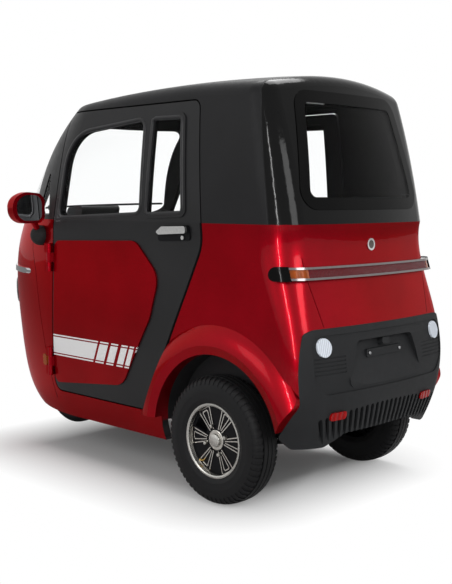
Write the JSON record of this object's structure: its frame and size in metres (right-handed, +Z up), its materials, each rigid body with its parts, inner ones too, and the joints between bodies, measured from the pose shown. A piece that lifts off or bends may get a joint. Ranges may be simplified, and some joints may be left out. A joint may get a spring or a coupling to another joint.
{
  "type": "three-wheeled microcar",
  "caption": "Closed electric three-wheeled cabin microcar with hinged doors, one steered front wheel and two rear wheels.",
  "frame": {"origin": "on the ground under the middle of the car's length and width", "axes": "+X forward, +Y to the driver's left, +Z up"},
  "size_m": [2.2537, 1.2648, 1.6448],
  "materials": {
    "red_paint": "metallic candy red paint",
    "red_shell": "red painted mirror shells",
    "black_body": "satin black moulded shell",
    "black_gloss": "gloss black",
    "glass_clear": "lightly tinted glazing",
    "bumper_grain": "grained dark grey plastic",
    "lamp_clear": "clear lamp lens",
    "lamp_red": "red lamp lens",
    "lamp_amber": "amber lamp lens",
    "chrome_trim": "bright chrome",
    "mirror_face": "mirror",
    "black_plastic": "black moulded plastic",
    "seat_cloth": "black seat covering",
    "frame_paint": "black painted steel",
    "battery_case": "battery case",
    "bar_metal": "black handlebar with rubber grips",
    "tyre_rubber": "black tyre rubber",
    "alloy": "polished alloy over black"
  },
  "bodies": {
    "body": {"nose_shell": "red_paint", "rear_body": "red_paint", "sills": "red_paint", "door_hinges": "red_paint", "mirrors": "red_shell", "roof_shell": "black_body", "rear_window_surround": "black_gloss", "windscreen": "glass_clear", "front_quarter_glass": "glass_clear", "rear_window": "glass_clear", "bumper": "bumper_grain", "plate_bracket": "bumper_grain", "rear_lamps": "lamp_clear", "headlamps": "lamp_clear", "reflectors": "lamp_red", "light_strip_lens": "lamp_red", "amber_lenses": "lamp_amber", "light_strip_trim": "chrome_trim", "tail_disc": "chrome_trim", "nose_trim": "chrome_trim", "mirror_glasses": "mirror_face", "wiper": "black_plastic", "light_strip_caps": "black_plastic", "mirror_boots": "black_plastic", "inner_arches": "black_plastic", "dashboard": "black_plastic", "cabin_tub": "black_plastic", "seat_cushion": "seat_cloth", "seat_back": "seat_cloth", "chassis_frame": "frame_paint", "cross_members": "frame_paint", "spring_hangers": "frame_paint", "steering_neck": "frame_paint", "leaf_springs": "frame_paint", "rear_axle": "frame_paint", "battery_block": "battery_case"},
    "front_wheel": {"front_tyre": "tyre_rubber", "front_rim": "alloy"},
    "steering_fork": {"fork": "frame_paint", "handlebar": "bar_metal"},
    "rear_wheel_left": {"rear_tyre_left": "tyre_rubber", "rear_rim_left": "alloy"},
    "rear_wheel_right": {"rear_tyre_right": "tyre_rubber", "rear_rim_right": "alloy"},
    "door_left": {"door_frame_left": "black_body", "door_skin_left": "red_paint", "door_glass_left": "glass_clear", "door_handle_left": "chrome_trim"},
    "door_right": {"door_frame_right": "black_body", "door_skin_right": "red_paint", "door_glass_right": "glass_clear", "door_handle_right": "chrome_trim"}
  },
  "joints": [
    {"name": "steering", "type": "hinge", "parent": "body", "child": "steering_fork", "pos_m": [0.81007, 0, 0.228], "axis": [-0.342, 0, 0.9397], "range_deg": [-35, 35]},
    {"name": "front_wheel_spin", "type": "hinge", "parent": "steering_fork", "child": "front_wheel", "pos_m": [0.842, 0, 0.228], "axis": [0, 1, 0], "continuous": true},
    {"name": "rear_left_spin", "type": "hinge", "parent": "body", "child": "rear_wheel_left", "pos_m": [-0.668, 0.433, 0.2475], "axis": [0, 1, 0], "continuous": true},
    {"name": "rear_right_spin", "type": "hinge", "parent": "body", "child": "rear_wheel_right", "pos_m": [-0.668, -0.433, 0.2475], "axis": [0, 1, 0], "continuous": true},
    {"name": "door_left", "type": "hinge", "parent": "body", "child": "door_left", "pos_m": [0.383, 0.48, 0.665], "axis": [0, 0, -1], "range_deg": [0, 70]},
    {"name": "door_right", "type": "hinge", "parent": "body", "child": "door_right", "pos_m": [0.383, -0.48, 0.665], "axis": [0, 0, 1], "range_deg": [0, 70]}
  ]
}
